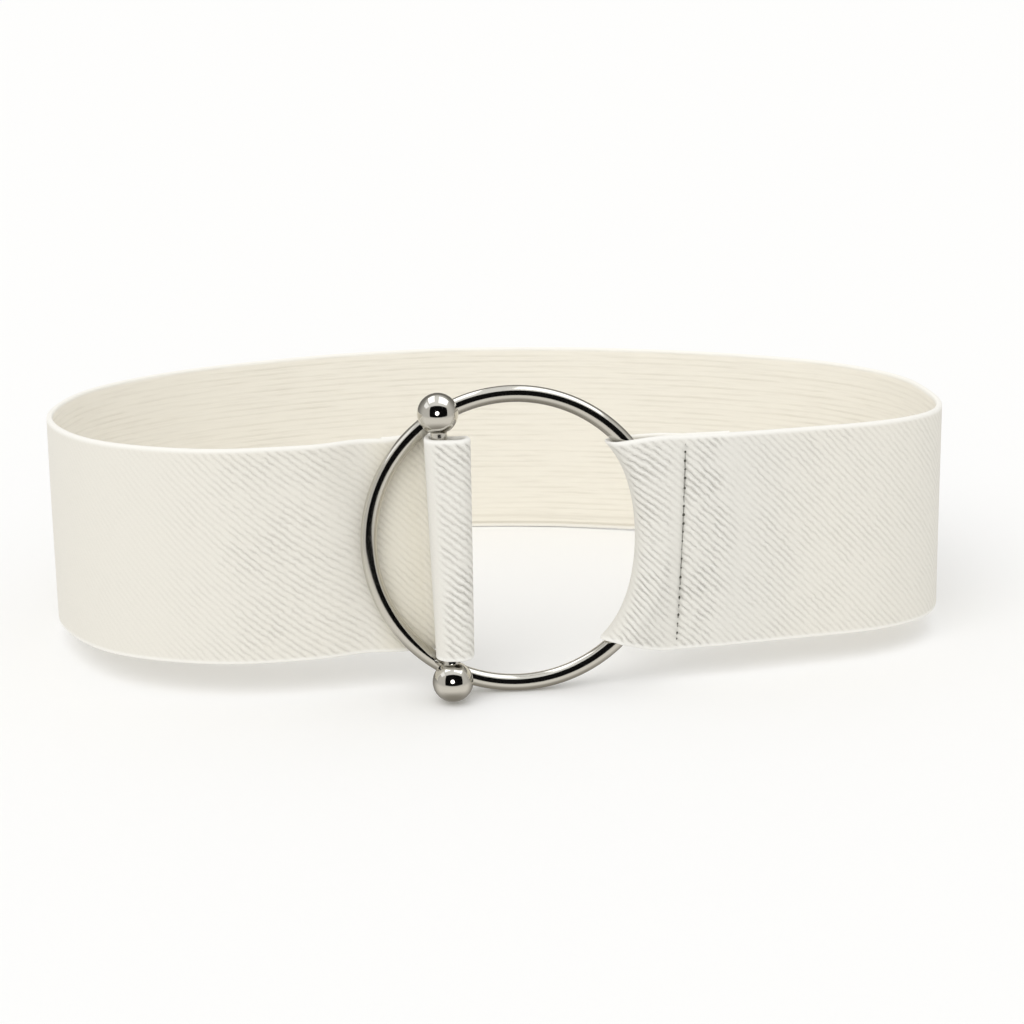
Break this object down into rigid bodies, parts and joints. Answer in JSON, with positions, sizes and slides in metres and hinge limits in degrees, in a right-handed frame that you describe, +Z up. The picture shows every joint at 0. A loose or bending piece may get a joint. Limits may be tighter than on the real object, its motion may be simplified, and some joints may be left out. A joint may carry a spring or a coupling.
{
  "type": "elastic stretch belt",
  "caption": "Wide woven elastic waist belt as a closed standing loop, fastened at the front by a round wire ring and a ball-ended toggle bar.",
  "frame": {"origin": "centre of the fastened belt's box, on the surface that it stands on", "axes": "+Z up, -Y out of the front where the buckle is, +X to the right of someone who faces the buckle"},
  "size_m": [0.2792, 0.182, 0.0911],
  "materials": {
    "elastic": "woven, matt, cream",
    "metal": "polished nickel"
  },
  "bodies": {
    "root": {"elastic_band": "elastic", "buckle_ring": "metal", "toggle_bar": "metal"}
  },
  "joints": []
}
